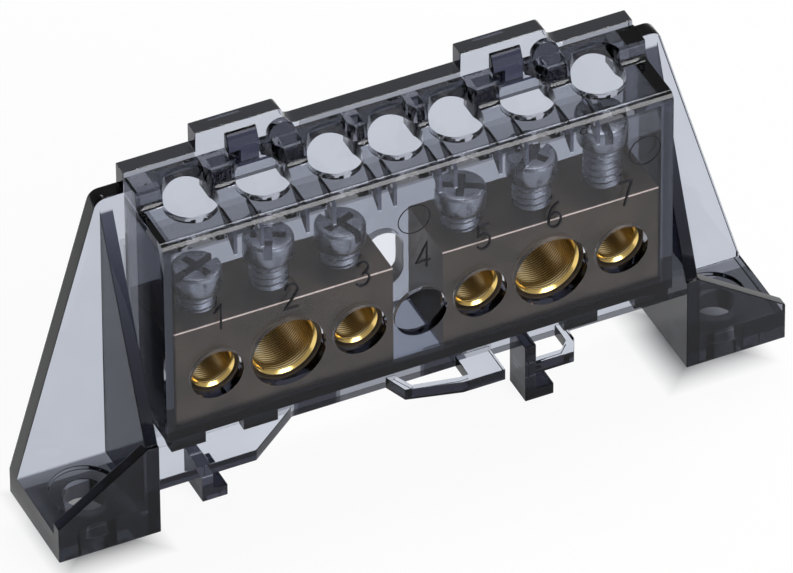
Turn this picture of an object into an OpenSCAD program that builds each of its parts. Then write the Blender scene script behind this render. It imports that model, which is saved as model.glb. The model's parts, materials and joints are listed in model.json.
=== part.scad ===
// Neutral busbar with seven places: two brass bars with clamping screws, held in a clear moulded
// holder under a clear cover that snaps on. X runs along the bars, the wires go in from -Y, Z is up.
// The origin lies midway between the two foot holes, on the underside of the feet. Sizes in mm.

/* [Terminals] */
// Pitch of the terminals along each bar
pitch = 7.95; // [7.8:0.05:9]
// Distance from the empty middle place to the nearest terminal
mid_pitch = 6.72; // [6.6:0.05:8]
// Diameter of the small wire bores
wire_d = 4.3; // [3.8:0.1:4.6]
// Diameter of the large wire bores, in the second place from each end
main_d = 6.7; // [6:0.1:7]
// Height of the wire bores above the underside of the bars
wire_up = 5.8; // [5:0.1:6.5]
// Chamfer at both ends of the wire bores
bore_chamfer = 0.35; // [0.2:0.05:0.5]

/* [Bars] */
// Depth of the bars, front to back
bar_depth = 8.2; // [7.6:0.1:10]
// Height of the bars
bar_h = 12; // [11.5:0.1:14]
// Bar material left outside the axis of its outer terminal
bar_outer = 4.4; // [4:0.1:5]
// Bar material left inside the axis of its inner terminal
bar_inner = 3.94; // [3.2:0.02:4]
// Play between each bar and the holder, below it and behind it
bar_play = 0.05; // [0.02:0.01:0.2]

/* [Screws] */
// Thread diameter of the clamping screws
screw_d = 4.1; // [3.8:0.1:4.4]
// Play all round between a screw and its hole in the bar
screw_play = 0.05; // [0.03:0.01:0.08]
// Length of thread under the head
screw_len = 5.8; // [5.4:0.1:7]
// Length of the pointed end of the thread
tip_len = 0.5; // [0.3:0.1:0.8]
// Diameter of the screw heads
head_d = 5.3; // [4.8:0.1:5.6]
// Height of the screw heads
head_h = 2.6; // [2.4:0.1:3.4]
// Width of the driver slot and of the cross in the heads
slot_w = 0.9; // [0.6:0.05:1.2]
// Depth of the driver slot
slot_deep = 1.2; // [0.8:0.1:1.5]
// Length of the arms of the cross
cross_len = 3.3; // [2.6:0.1:3.8]
// Depth of the cross
cross_deep = 1.7; // [1.2:0.1:2]
// Height of a screw's tip above its wire bore when the terminal is open
tip_clear = 0.1; // [0.05:0.05:0.6]
// Extra height of the last screw, which is turned further out
last_extra = 2.9; // [0:0.1:2.9]

/* [Cover] */
// Wall thickness of the cover
wall = 1.1; // [0.9:0.05:1.4]
// Play between the cover and the front of the bars
cover_play = 0.17; // [0.1:0.01:0.4]
// Play between the cover and the ends of the bars
cover_end_play = 0.18; // [0.1:0.02:0.5]
// Play between the cover and the back plate
cover_back_play = 0.12; // [0.1:0.02:0.3]
// Height of the screw chambers above the bars
chamber_h = 10.7; // [10.4:0.1:14]
// Thickness of the front deck
deck_t = 1.6; // [1.3:0.1:1.8]
// Height of the step from the front deck up to the rear rail
rail_step = 2.14; // [1.6:0.02:2.6]
// Depth of the rear rail at its top
rail_deep = 2.72; // [2.5:0.02:3]
// How far the front of the rail slopes
rail_slope = 0.3; // [0.1:0.05:0.5]
// Radius of the hollow at the foot of the rail
rail_r = 0.65; // [0.4:0.05:0.8]
// Thickness of the rail over the back of the chambers
rail_t = 1; // [0.8:0.1:1.3]
// Radius of the front upper edge
edge_r = 0.9; // [0.4:0.1:1]
// How far the cover reaches below the underside of the bars
skirt = 1.2; // [0.8:0.05:1.4]
// Room between a wire bore and the edge of its opening in the cover
entry_room = 0.75; // [0.6:0.05:0.8]
// Diameter of the driver holes
driver_d = 5.7; // [5.4:0.1:5.8]
// How far the driver holes sit behind the screw axes
driver_back = 0.45; // [0:0.05:0.6]
// Width of the rising roofs over the chambers
chamber_w = 5.1; // [4.8:0.1:5.2]
// Distance behind the front wall at which the chamber roofs start to rise
roof_at = 3.1; // [2.6:0.1:3.6]
// Thickness of the ribs in the front upper corner of the chambers
rib_t = 0.35; // [0.3:0.05:0.5]
// Distance of the ribs from the axis of their terminal
rib_at = 2.5; // [2.3:0.05:2.6]
// Height of the ribs at the front wall
rib_h = 2.6; // [2:0.1:2.8]
// Depth of the pockets in the rail
pocket_deep = 2.2; // [1.2:0.1:2.6]
// Length of the pockets, front to back
pocket_y = 1.3; // [1:0.1:1.4]
// Wall left behind the pockets
pocket_wall = 0.85; // [0.7:0.05:1]
// How much narrower a pocket is than the strip between two chambers
pocket_less = 0.75; // [0.6:0.05:0.9]
// Radius of the two round lugs on the rail
lug_r = 1.45; // [1:0.05:1.6]
// Thickness of the lugs
lug_t = 0.75; // [0.5:0.05:0.8]
// Height of the lugs' centres above the rail
lug_up = 0.3; // [0:0.1:0.6]
// Distance of each lug from its terminal
lug_at = 3.45; // [3.3:0.05:3.8]

/* [Cover snaps] */
// Width of the snaps below the front wall
snap_w = 3.8; // [3:0.1:4.4]
// Distance of the outer snaps from the cover's ends
snap_edge = 0.45; // [0.2:0.05:1.4]
// How far the inner snaps stand inside the middle between the outer two terminals
snap_shift = 0.7; // [0:0.05:1]
// Height of the hook on each snap
snap_hook = 0.9; // [0.6:0.05:1.2]
// How far each hook reaches under the ledge
snap_bite = 0.6; // [0.3:0.05:0.8]
// Play between the hooks and the ledge
snap_play = 0.1; // [0.05:0.05:0.2]

/* [Holder] */
// Thickness of the back plate
back_t = 1.9; // [1.6:0.1:2.4]
// Gap between the cover and each end plate
end_gap = 1.3; // [1:0.1:2]
// Thickness of the end plates
end_t = 1.4; // [1:0.1:2]
// Height of the straight front edge of the end plates
end_front_h = 10.4; // [9:0.1:12]
// Height of the end plates and their gussets at the back
end_back_h = 36.2; // [34:0.1:37]
// How far the gussets' upper corners stand out from the end plates
gusset_out = 0.3; // [0:0.1:0.8]
// Radius of the gussets' upper corners
gusset_r = 1.3; // [0.6:0.1:1.8]
// Height of the seat that carries the bars
seat_z = 11.7; // [11:0.1:13]
// Thickness of the seat
seat_t = 1.5; // [1.2:0.1:2]
// Height of the back plate above the cover's rail
plate_up = 0.5; // [0:0.1:0.8]
// Width of the fixing slot in the back plate
slot_wide = 4.4; // [3.6:0.1:4.8]
// Height of the fixing slot
slot_tall = 7; // [6:0.1:8]
// Length of each raised tab to the left of its terminal
tab_left = 5.7; // [5:0.1:6]
// Length of each raised tab to the right of its terminal
tab_right = 3.9; // [3:0.1:4]
// Height of the tabs above the back plate
tab_h = 2.3; // [1.9:0.1:2.6]
// Radius of the hollow at each tab's right end
tab_r = 1.6; // [1:0.1:1.8]
// Radius of the tabs' right upper corners
tab_corner = 0.6; // [0.3:0.1:0.7]
// Width of the catches that hold the cover's rail
catch_w = 3.4; // [3:0.1:3.8]
// How far each catch stands to the left of its terminal
catch_off = 0.8; // [0.6:0.05:1]
// How far the catches stand out from the back plate
catch_deep = 1; // [0.8:0.05:1.1]
// Height of the catches
catch_h = 3.8; // [3:0.1:4.2]
// Slope at the top of the catches
catch_bevel = 0.7; // [0.4:0.1:0.8]
// Play between each catch and the cover
catch_play = 0.12; // [0.1:0.02:0.25]

/* [Feet] */
// Width of each foot outside its end plate
foot_w = 9.9; // [9:0.1:12]
// How far the feet reach in front of the cover
foot_front = 0.95; // [0.6:0.05:1.6]
// Thickness of the feet
foot_t = 3.1; // [2.4:0.1:4]
// Thickness of the low ribs at the front of the feet
brace_t = 1.3; // [1:0.1:1.8]
// Height of the low ribs at the end plates
brace_h = 11.3; // [9:0.1:12]
// Height of the low ribs at the outer ends
brace_end_h = 4.4; // [4:0.1:6]
// Distance of the foot holes from the end plates
foot_hole_at = 4.4; // [4:0.1:5]
// Diameter of the foot holes
foot_hole_d = 4.3; // [3.6:0.1:4.8]
// Diameter of the sunk seats round the foot holes
foot_seat_d = 7.2; // [6.4:0.1:7.6]
// Depth of the sunk seats
foot_seat_deep = 0.5; // [0.3:0.1:1]

/* [Rail clip] */
// Width of the mounting rail that the clip takes
rail_w = 35; // [34.5:0.1:35.5]
// Play between the rail and the clip
rail_play = 0.1; // [0.05:0.05:0.3]
// Distance of the rail's middle to the left of the origin
rail_off = 3.55; // [3:0.05:4]
// Depth of the shelves in front of the back plate
shelf_deep = 4.6; // [4:0.1:5.5]
// Thickness of the shelves
shelf_t = 1.4; // [1.1:0.1:1.8]
// Where the left shelf's slanted edge starts, left of the origin
shelf_slant = 16.3; // [15:0.1:18]
// Where the left shelf ends at the back plate, left of the origin
shelf_end = 10.2; // [9:0.1:12]
// Height of the gap that takes the rail's edge
hook_gap = 1.95; // [1.5:0.05:2.4]
// Thickness of the lips of the two hooks
lip_t = 1.4; // [1:0.1:1.8]
// Thickness of the legs of the two hooks
leg_t = 1.25; // [1:0.05:1.6]
// How far the fixed hook's lip reaches under the rail
lip_reach = 1.6; // [1:0.1:2]
// How far the spring hook's lip reaches, as a grip to pull it open
grip_reach = 2; // [1.5:0.1:3]
// Height of the spring hook's leg above the feet
leg_up = 3.9; // [2.5:0.1:5]
// Width of the strips of the spring loops
strip_w = 1; // [0.8:0.05:1.4]
// Gap that frees the spring hook from the back plate
spring_gap = 0.8; // [0.5:0.1:1.2]
// Gap between the spring hook and the block beside it
block_gap = 2; // [1.2:0.1:2.6]
// Width of the block beside the spring hook
block_w = 3.8; // [3:0.1:4.5]
// Length of the thin loop to the left of the block
loop_len = 7.9; // [6:0.1:9]
// Length of the spring loop to the right of its hook
spring_len = 5.3; // [4.6:0.1:6.5]

/* [Hidden] */
$fn = 64;
eps = 0.01;
past = 2;

// Terminal places along X
x_3 = -mid_pitch;
x_2 = x_3 - pitch;
x_1 = x_2 - pitch;
small_x = [x_1, x_3, -x_3, -x_1];
main_x = [x_2, -x_2];
place_x = [x_1, x_2, x_3, 0, -x_3, -x_2, -x_1];
screw_x = [x_1, x_2, x_3, -x_3, -x_2, -x_1];

// Lengths along X from the middle
bar_in = mid_pitch - bar_inner;
bar_out = bar_outer - x_1;
cover_in = bar_out + cover_end_play;
cover_out = cover_in + wall;
end_in = cover_out + end_gap;
end_out = end_in + end_t;
foot_out = end_out + foot_w;

// Depths along Y, front and back
depth = back_t + bar_play + bar_depth + cover_play + wall + foot_front;
y_back = depth / 2;
y_front = -y_back;
y_plate = y_back - back_t;
y_root = y_back - back_t / 2;
bar_back = y_plate - bar_play;
bar_front = bar_back - bar_depth;
screw_y = (bar_back + bar_front) / 2;
driver_y = screw_y + driver_back;
cover_inner = bar_front - cover_play;
cover_front = cover_inner - wall;
cover_back = y_plate - cover_back_play;
shelf_front = y_plate - shelf_deep;

// Heights
bar_z = seat_z + bar_play;
bar_top = bar_z + bar_h;
wire_z = bar_z + wire_up;
ceiling = bar_top + chamber_h;
deck = ceiling + deck_t;
rail_top = deck + rail_step;
cover_low = bar_z - skirt;
plate_top = rail_top + plate_up;
lip_top = -hook_gap;
lip_low = lip_top - lip_t;

// Snaps along X
snap_out = cover_out - snap_edge - snap_w / 2;
snap_in = -(x_1 + x_2) / 2 - snap_shift;

// Openings and screws
small_open = wire_d + 2 * entry_room;
main_open = main_d + 2 * entry_room;
screw_hole_d = screw_d + 2 * screw_play;
small_lift = wire_z + wire_d / 2 + tip_clear + screw_len - bar_top;
main_lift = wire_z + main_d / 2 + tip_clear + screw_len - bar_top;
last_lift = small_lift + last_extra;

// Rail clip along X
hook_in = -rail_off - rail_w / 2 - rail_play;
spring_in = -rail_off + rail_w / 2 + rail_play;
spring_out = spring_in + leg_t;
block_right = spring_in - block_gap;
block_left = block_right - block_w;

// Lays a shape drawn in X and Z between two depths
module upright(y_from, y_to) {
    translate([0, y_to, 0]) rotate([90, 0, 0]) linear_extrude(y_to - y_from) children();
}

// Lays a shape drawn in Y and Z between two lengths
module crosswise(x_from, x_to) {
    translate([x_from, 0, 0]) rotate([90, 0, 90]) linear_extrude(x_to - x_from) children();
}

// A block given by two opposite corners
module block(low, high) {
    translate(low) cube(high - low);
}

function unit(v) = v / norm(v);
function half_angle(p, a, b) = acos(unit(a - p) * unit(b - p)) / 2;
function round_off(p, a, b, r) = r / tan(half_angle(p, a, b));
function round_at(p, a, b, r) =
    p + unit(unit(a - p) + unit(b - p)) * r / sin(half_angle(p, a, b));

// One side of the back plate with its gusset, from the middle outwards
module plate_half() {
    low = [foot_out, foot_t];
    peak = [end_out + gusset_out, end_back_h];
    flat = [cover_out, end_back_h];
    cut = round_off(peak, low, flat, gusset_r);
    polygon([[0, 0], [foot_out, 0], low, peak + cut * unit(low - peak),
             peak + cut * unit(flat - peak), flat, [cover_out, plate_top], [0, plate_top]]);
    translate(round_at(peak, low, flat, gusset_r)) circle(gusset_r);
}

// A raised tab of the back plate: square at its left end, rounded and hollowed at its right end
module tab_shape(x) {
    top = plate_top + tab_h;
    right = x + tab_right;
    polygon([[x - tab_left, plate_top - eps], [x - tab_left, top], [right - tab_corner, top],
             [right - tab_corner, top - tab_corner], [right, top - tab_corner], [right, plate_top - eps]]);
    translate([right - tab_corner, top - tab_corner]) circle(tab_corner);
    difference() {
        translate([right - eps, plate_top - eps]) square(tab_r + eps);
        translate([right + tab_r, plate_top + tab_r]) circle(tab_r);
    }
}

module fixing_slot() {
    run = slot_tall - slot_wide;
    translate([0, wire_z - run / 2]) circle(d = slot_wide);
    translate([0, wire_z + run / 2]) circle(d = slot_wide);
    translate([-slot_wide / 2, wire_z - run / 2]) square([slot_wide, run]);
}

module back_plate() {
    upright(y_plate, y_back) difference() {
        union() {
            plate_half();
            mirror([1, 0]) plate_half();
            for (x = main_x) tab_shape(x);
        }
        fixing_slot();
    }
}

// The catch in front of a tab, which holds the cover's rail down
module catch(x) {
    mid = x - catch_off;
    low = deck + catch_play;
    high = low + catch_h;
    tip = y_plate - catch_deep;
    crosswise(mid - catch_w / 2, mid + catch_w / 2)
        polygon([[y_root, low], [tip, low], [tip, high - 2 * catch_bevel],
                 [tip + catch_bevel, high], [y_root, high]]);
}

// An end plate with its foot and the low rib at the front
module end_and_foot() {
    hole_x = end_out + foot_hole_at;
    end_top = end_back_h - gusset_r;
    crosswise(end_in, end_out)
        polygon([[y_front, 0], [y_root, 0], [y_root, end_top], [y_plate, end_top],
                 [y_front, end_front_h]]);
    difference() {
        block([end_in, y_front, 0], [foot_out, y_back, foot_t]);
        translate([hole_x, 0, -past]) cylinder(d = foot_hole_d, h = foot_t + 2 * past);
        translate([hole_x, 0, foot_t - foot_seat_deep]) cylinder(d = foot_seat_d, h = past);
    }
    upright(y_front, y_front + brace_t)
        polygon([[end_in, 0], [foot_out, 0], [foot_out, brace_end_h], [end_out, brace_h],
                 [end_in, brace_h]]);
}

// The shelf on the left with the fixed hook of the rail clip
module fixed_hook() {
    linear_extrude(shelf_t)
        polygon([[-end_out, shelf_front], [-shelf_slant, shelf_front], [-shelf_end, y_plate],
                 [-shelf_end, y_root], [-end_out, y_root]]);
    upright(shelf_front, y_plate)
        polygon([[hook_in - leg_t, shelf_t / 2], [hook_in - leg_t, lip_low],
                 [hook_in + lip_reach, lip_low], [hook_in + lip_reach, lip_top],
                 [hook_in, lip_top], [hook_in, shelf_t / 2]]);
}

// The spring loops on the right with the hook that gives way
module spring_hook() {
    loop_left = block_left - loop_len;
    nose = block_left - strip_w;
    front = shelf_front + strip_w / 2;
    inner = front + strip_w;
    bend = shelf_front + 2 * strip_w;
    far = spring_out + spring_len;
    free = y_plate - spring_gap;
    linear_extrude(shelf_t) difference() {
        polygon([[loop_left, y_root], [loop_left, y_plate], [loop_left + strip_w, bend],
                 [nose, front], [block_right, front], [block_right, y_root]]);
        polygon([[loop_left + strip_w, y_plate], [loop_left + 2 * strip_w, bend + strip_w / 2],
                 [nose, inner], [block_left, inner], [block_left, y_plate]]);
    }
    linear_extrude(shelf_t) difference() {
        polygon([[spring_in, shelf_front], [far - strip_w, shelf_front], [far, bend],
                 [far, y_root], [far - strip_w, y_root], [far - strip_w, free],
                 [spring_in, free]]);
        polygon([[spring_out, shelf_front + strip_w], [far - 2 * strip_w, shelf_front + strip_w],
                 [far - strip_w, bend], [far - strip_w, free + past], [spring_out, free + past]]);
    }
    upright(shelf_front, free)
        polygon([[spring_in, leg_up], [spring_in, lip_low], [spring_out + grip_reach, lip_low],
                 [spring_out + grip_reach, lip_top], [spring_out, lip_top], [spring_out, leg_up]]);
}

module base() {
    color([0.62, 0.62, 0.68, 0.6]) {
        back_plate();
        end_and_foot();
        mirror([1, 0, 0]) end_and_foot();
        block([-bar_out, bar_front, seat_z - seat_t], [bar_out, y_root, seat_z]);
        for (x = main_x) catch(x);
        fixed_hook();
        spring_hook();
    }
}

// The cover's cross-section, filled
module cover_profile() {
    corner = [cover_front + edge_r, deck - edge_r];
    step = cover_back - rail_deep;
    foot = step - rail_slope;
    polygon([[cover_front, cover_low], [cover_front, corner.y], corner, [corner.x, deck],
             [foot, deck], [step, rail_top], [cover_back, rail_top], [cover_back, cover_low]]);
    translate(corner) circle(edge_r);
    difference() {
        translate([foot - rail_r, deck - eps]) square(rail_r + eps);
        translate([foot - rail_r, deck + rail_r]) circle(rail_r);
    }
}

// Strips between two chambers: middle and width
strips = [for (i = [0 : 5]) [(place_x[i] + place_x[i + 1]) / 2,
                             place_x[i + 1] - place_x[i] - chamber_w]];

module cover_shell() {
    crosswise(-cover_in - eps, cover_in + eps) difference() {
        cover_profile();
        translate([cover_inner, cover_low - past])
            square([cover_back + past - cover_inner, ceiling + past - cover_low]);
    }
    crosswise(-cover_out, -cover_in) cover_profile();
    crosswise(cover_in, cover_out) cover_profile();
}

module rail_pockets() {
    pocket_back = cover_back - pocket_wall;
    for (s = strips) {
        half = (s[1] - pocket_less) / 2;
        block([s[0] - half, pocket_back - pocket_y, rail_top - pocket_deep],
              [s[0] + half, pocket_back, rail_top + past]);
    }
}

module catch_notch(x) {
    mid = x - catch_off;
    half = catch_w / 2 + catch_play;
    block([mid - half, y_plate - catch_deep - catch_play, deck], [mid + half, y_back, rail_top + past]);
}

// The ledge that a catch holds, which bridges the back of its chamber
module catch_ledge(x) {
    half = chamber_w / 2 + eps;
    block([x - half, y_plate - catch_deep - catch_play, ceiling], [x + half, cover_back, deck]);
}

// The room taken out of the rail over each chamber, with a roof that rises to the back
module chamber_roof(x) {
    rise = cover_inner + roof_at;
    roof = rail_top - rail_t;
    crosswise(x - chamber_w / 2, x + chamber_w / 2)
        polygon([[rise, ceiling - past], [rise, ceiling], [cover_back, roof],
                 [cover_back + past, roof], [cover_back + past, ceiling - past]]);
}

// A three-cornered rib in the front upper corner of a chamber
module corner_rib(x) {
    crosswise(x - rib_t / 2, x + rib_t / 2)
        polygon([[cover_inner - eps, ceiling - rib_h], [cover_inner, ceiling - rib_h],
                 [cover_inner + roof_at, ceiling], [cover_inner + roof_at, ceiling + eps],
                 [cover_inner - eps, ceiling + eps]]);
}

module snap(x) {
    low = seat_z - seat_t - snap_play - snap_hook;
    block([x - snap_w / 2, cover_front, low], [x + snap_w / 2, cover_inner, cover_low + eps]);
    crosswise(x - snap_w / 2, x + snap_w / 2)
        polygon([[cover_inner - eps, low], [cover_inner, low], [bar_front + snap_bite, low + snap_hook / 2],
                 [bar_front + snap_bite, low + snap_hook], [cover_inner - eps, low + snap_hook]]);
}

module cover() {
    color([0.72, 0.72, 0.78, 0.45]) {
        difference() {
            cover_shell();
            for (x = place_x) chamber_roof(x);
            for (x = place_x) translate([x, driver_y, ceiling - eps])
                cylinder(d = driver_d, h = rail_top - ceiling + past);
            for (x = concat(small_x, [0])) translate([x, cover_inner + eps, wire_z])
                rotate([90, 0, 0]) cylinder(d = small_open, h = wall + past);
            for (x = main_x) translate([x, cover_inner + eps, wire_z])
                rotate([90, 0, 0]) cylinder(d = main_open, h = wall + past);
            for (x = main_x) catch_notch(x);
            rail_pockets();
        }
        for (x = main_x) catch_ledge(x);
        for (x = main_x) upright(cover_back - lug_t, cover_back)
            translate([x + lug_at, rail_top + lug_up]) circle(lug_r);
        for (i = [0 : 5]) {
            corner_rib(place_x[i] + rib_at);
            corner_rib(place_x[i + 1] - rib_at);
        }
        for (x = [-snap_out, -snap_in, snap_in, snap_out]) snap(x);
    }
}

// A wire bore with its chamfers, drilled right through a bar
module wire_bore(x, d) {
    cut = bore_chamfer + eps;
    translate([x, bar_back + past, wire_z]) rotate([90, 0, 0]) cylinder(d = d, h = bar_depth + 2 * past);
    translate([x, bar_front - eps, wire_z]) rotate([-90, 0, 0]) cylinder(d1 = d + 2 * cut, d2 = d, h = cut);
    translate([x, bar_back + eps, wire_z]) rotate([90, 0, 0]) cylinder(d1 = d + 2 * cut, d2 = d, h = cut);
}

// The bar over the left-hand terminals; the other bar is its mirror image
module bar_body() {
    difference() {
        block([-bar_out, bar_front, bar_z], [-bar_in, bar_back, bar_top]);
        for (x = [x_1, x_3]) wire_bore(x, wire_d);
        wire_bore(x_2, main_d);
        for (x = [x_1, x_2, x_3]) translate([x, screw_y, wire_z])
            cylinder(d = screw_hole_d, h = bar_top - wire_z + past);
    }
}

module busbar_left() {
    color([0.75, 0.6, 0.33]) bar_body();
}

module busbar_right() {
    color([0.75, 0.6, 0.33]) mirror([1, 0, 0]) bar_body();
}

// A clamping screw with a slot and a cross in its head, lifted above the bar
module screw(x, lift, turn) {
    color([0.72, 0.73, 0.75]) translate([x, screw_y, bar_top + lift]) difference() {
        union() {
            translate([0, 0, -screw_len + tip_len]) cylinder(d = screw_d, h = screw_len - tip_len + eps);
            translate([0, 0, -screw_len]) cylinder(d1 = screw_d - tip_len, d2 = screw_d, h = tip_len);
            cylinder(d = head_d, h = head_h);
        }
        rotate([0, 0, turn]) {
            block([-head_d, -slot_w / 2, head_h - slot_deep], [head_d, slot_w / 2, head_h + past]);
            block([-cross_len / 2, -slot_w / 2, head_h - cross_deep],
                  [cross_len / 2, slot_w / 2, head_h + past]);
            block([-slot_w / 2, -cross_len / 2, head_h - cross_deep],
                  [slot_w / 2, cross_len / 2, head_h + past]);
        }
    }
}

module screw_1() {
    screw(screw_x[0], small_lift, 20);
}

module screw_2() {
    screw(screw_x[1], main_lift, 65);
}

module screw_3() {
    screw(screw_x[2], small_lift, 110);
}

module screw_5() {
    screw(screw_x[3], small_lift, 150);
}

module screw_6() {
    screw(screw_x[4], main_lift, 35);
}

module screw_7() {
    screw(screw_x[5], last_lift, 80);
}

base();
cover();
busbar_left();
busbar_right();
screw_1();
screw_2();
screw_3();
screw_5();
screw_6();
screw_7();
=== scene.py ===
"""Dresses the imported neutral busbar: smoky clear mouldings, brass bars, plated screws and digits.

The frame gives the solids and where they sit. This file adds what a mould and a workshop add to
them: softened edges, threads, raised digits, ejector marks, and the finish of every surface.
"""

import json
import math

import bmesh
import bpy
from bpy.props import FloatProperty, FloatVectorProperty, PointerProperty
from mathutils import Euler, Matrix, Vector


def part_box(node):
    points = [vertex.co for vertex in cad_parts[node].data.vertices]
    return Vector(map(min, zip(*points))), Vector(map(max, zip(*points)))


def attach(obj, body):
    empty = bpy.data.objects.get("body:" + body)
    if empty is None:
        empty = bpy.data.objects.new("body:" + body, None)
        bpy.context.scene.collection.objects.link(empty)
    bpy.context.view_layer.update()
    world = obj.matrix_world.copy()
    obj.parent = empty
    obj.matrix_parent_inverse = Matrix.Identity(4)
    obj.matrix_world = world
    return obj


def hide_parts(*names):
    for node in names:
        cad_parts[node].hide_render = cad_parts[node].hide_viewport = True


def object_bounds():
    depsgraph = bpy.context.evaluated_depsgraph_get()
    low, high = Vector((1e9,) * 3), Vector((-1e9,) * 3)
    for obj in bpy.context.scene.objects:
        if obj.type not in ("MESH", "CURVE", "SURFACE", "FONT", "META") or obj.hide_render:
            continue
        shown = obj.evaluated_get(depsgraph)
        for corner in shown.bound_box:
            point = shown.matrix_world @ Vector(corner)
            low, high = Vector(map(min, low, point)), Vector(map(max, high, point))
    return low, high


bl_info = {
    "name": "Neutral Busbar Looks",
    "version": (1, 0, 0),
    "blender": (4, 5, 0),
    "location": "3D View > Sidebar > Busbar",
    "description": "Finishes, threads, digits and studio for a seven-place neutral busbar",
    "category": "Object",
}

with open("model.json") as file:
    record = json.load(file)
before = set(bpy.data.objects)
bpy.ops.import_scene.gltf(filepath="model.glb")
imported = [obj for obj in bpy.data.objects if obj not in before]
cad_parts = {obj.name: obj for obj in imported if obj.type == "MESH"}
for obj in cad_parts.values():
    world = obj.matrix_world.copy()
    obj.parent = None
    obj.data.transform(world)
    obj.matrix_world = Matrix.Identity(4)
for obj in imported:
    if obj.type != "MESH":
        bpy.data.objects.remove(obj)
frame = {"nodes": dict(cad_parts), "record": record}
CAD_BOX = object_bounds()
HOLDER = "holder"
MOUNTS = {mount["name"]: mount for mount in frame["record"]["mounts"]}
FRONT_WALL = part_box("cover")[0].y

# The places that have a screw, and how far its slot is turned from X, in degrees
SCREW_TURNS = {1: 20, 2: 65, 3: 110, 5: 150, 6: 35, 7: 80}

# Painted shade on the two mouldings: boxes on both sides of X = 0 where the plastic is darkened,
# for its thick parts and for the shade under the bars, in the pockets and near the floor: low
# corner, high corner, share of dark, and which of the faces in the box it goes on
HOLDER_THICK_SHADE = (
    ((0.0309, -0.0063, -0.0001), (0.042, 0.0042, 0.0033), 0.80, "all"),
    ((0.0309, -0.0063, 0.0030), (0.042, -0.0048, 0.0120), 1.0, "rising"),
    ((0.0309, -0.0063, 0.0033), (0.042, -0.0048, 0.0120), 0.75, "upright"),
    ((0.0295, -0.0063, -0.0001), (0.0311, 0.0042, 0.037), 0.99, "all"),
    ((0.0028, -0.0045, 0.0100), (0.0275, 0.0042, 0.0119), 0.99, "all"),
    ((-0.001, -0.0063, -0.004), (0.0295, 0.0042, -0.0001), 0.98, "all"),
    ((-0.001, -0.0063, -0.0001), (0.0295, 0.0042, 0.0045), 0.98, "upright"),
    ((-0.001, 0.0042, 0.0028), (0.0285, 0.0064, 0.0295), 0.4, "all"),
    ((0.0047, 0.0042, -0.001), (0.0096, 0.0064, 0.0029), 0.95, "all"),
    ((-0.001, 0.0042, -0.001), (0.0124, 0.0064, 0.0029), 0.5, "all"),
    ((0.0115, 0.0030, 0.034), (0.0178, 0.0042, 0.042), 1.0, "all"),
    ((-0.001, 0.0042, 0.0372), (0.0090, 0.0044, 0.0388), 0.8, "all"),
    ((0.0204, 0.0042, 0.0372), (0.0310, 0.0044, 0.0388), 0.8, "all"),
)
COVER_THICK_SHADE = (
    ((-0.001, -0.0046, 0.0340), (0.0275, 0.0043, 0.0362), 0.38, "all"),
    ((-0.001, -0.0046, 0.0362), (0.0285, 0.0043, 0.0405), 0.87, "all"),
    ((-0.001, 0.0018, 0.0355), (0.0285, 0.0036, 0.0364), 1.0, "rising"),
    ((0.0271, -0.0056, 0.0100), (0.0285, 0.0043, 0.0362), 0.72, "all"),
    ((-0.001, -0.0056, 0.0080), (0.0285, -0.0030, 0.0118), 0.967, "all"),
    ((-0.001, -0.0041, 0.0315), (0.0272, -0.0005, 0.0344), 0.97, "all"),
    ((-0.001, -0.0056, 0.0125), (0.0285, -0.0040, 0.0225), 0.93, "rising"),
    ((-0.001, -0.0056, 0.0346), (0.0285, -0.0042, 0.0362), 0.5, "all"),
)

# The upper part of each moulding, where its rounded edges are polished
HOLDER_TOP = ((-0.001, 0.0042, 0.0372), (0.042, 0.0064, 0.042))
COVER_TOP = ((-0.001, -0.0056, 0.0345), (0.0285, 0.0030, 0.0375))

# Painted glow: light that the holder's top edge gives off, though no lamp is there
EDGE_LIGHT = (0.036, 0.037, 0.042)

# Painted highlight streaks and a painted reflection in the wire bores: the middle and half the
# width as angles round the axis, in degrees, and the depths at which a streak begins and is full,
# in radii of the bore
BORE_HIGHLIGHTS = ((-115, 46, 0.3, 0.7), (-40, 18, 0.3, 1.1), (-75, 85, 0.5, 0.15))
BORE_REFLECTION = (-118, 20, 0.9, 1.3)

# Ejector marks on the front wall: X, Z and diameter
EJECTOR_MARKS = ((-0.00073, 0.0300, 0.0035), (0.0251, 0.0298, 0.0035), (0.0182, 0.0347, 0.00075))

# How the edges are rounded: steps of the rounding, and the least angle of an edge, in degrees
ROUNDING_STEPS = 2
MOULDED_ANGLE = 28
FILED_ANGLE = 40

# Thread: sides of the rod, rows in one turn, steepness of the flanks, and the turns over which
# the thread grows to its full height at the tip
THREAD_SIDES = 48
THREAD_ROWS = 10
THREAD_FLANK = 2.6
THREAD_LEAD = 1.3

# Screw heads: sides, and the angle in degrees from which an edge looks sharp
HEAD_SIDES = 64
HEAD_SHARP = 38

# The floor lies this far below the part. It is white to each kind of ray by the share given here
# and lit paper for the rest. Under the feet, in a box on both sides of X = 0, it carries a painted
# contact shadow.
FLOOR_GAP = 0.00002
FLOOR_WHITE = {"Is Transmission Ray": 0.8, "Is Glossy Ray": 0.2, "Is Camera Ray": 0.9}
UNDER_FEET = ((0.0275, CAD_BOX[0].y, -1.0), (CAD_BOX[1].x, 0.0105, 1.0))
FOOT_SHADE = (0.02, 0.02, 0.022)


# Settings

COLOUR = {"subtype": "COLOR", "size": 3, "min": 0, "max": 1}
LENGTH = {"subtype": "DISTANCE", "unit": "LENGTH"}


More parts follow.
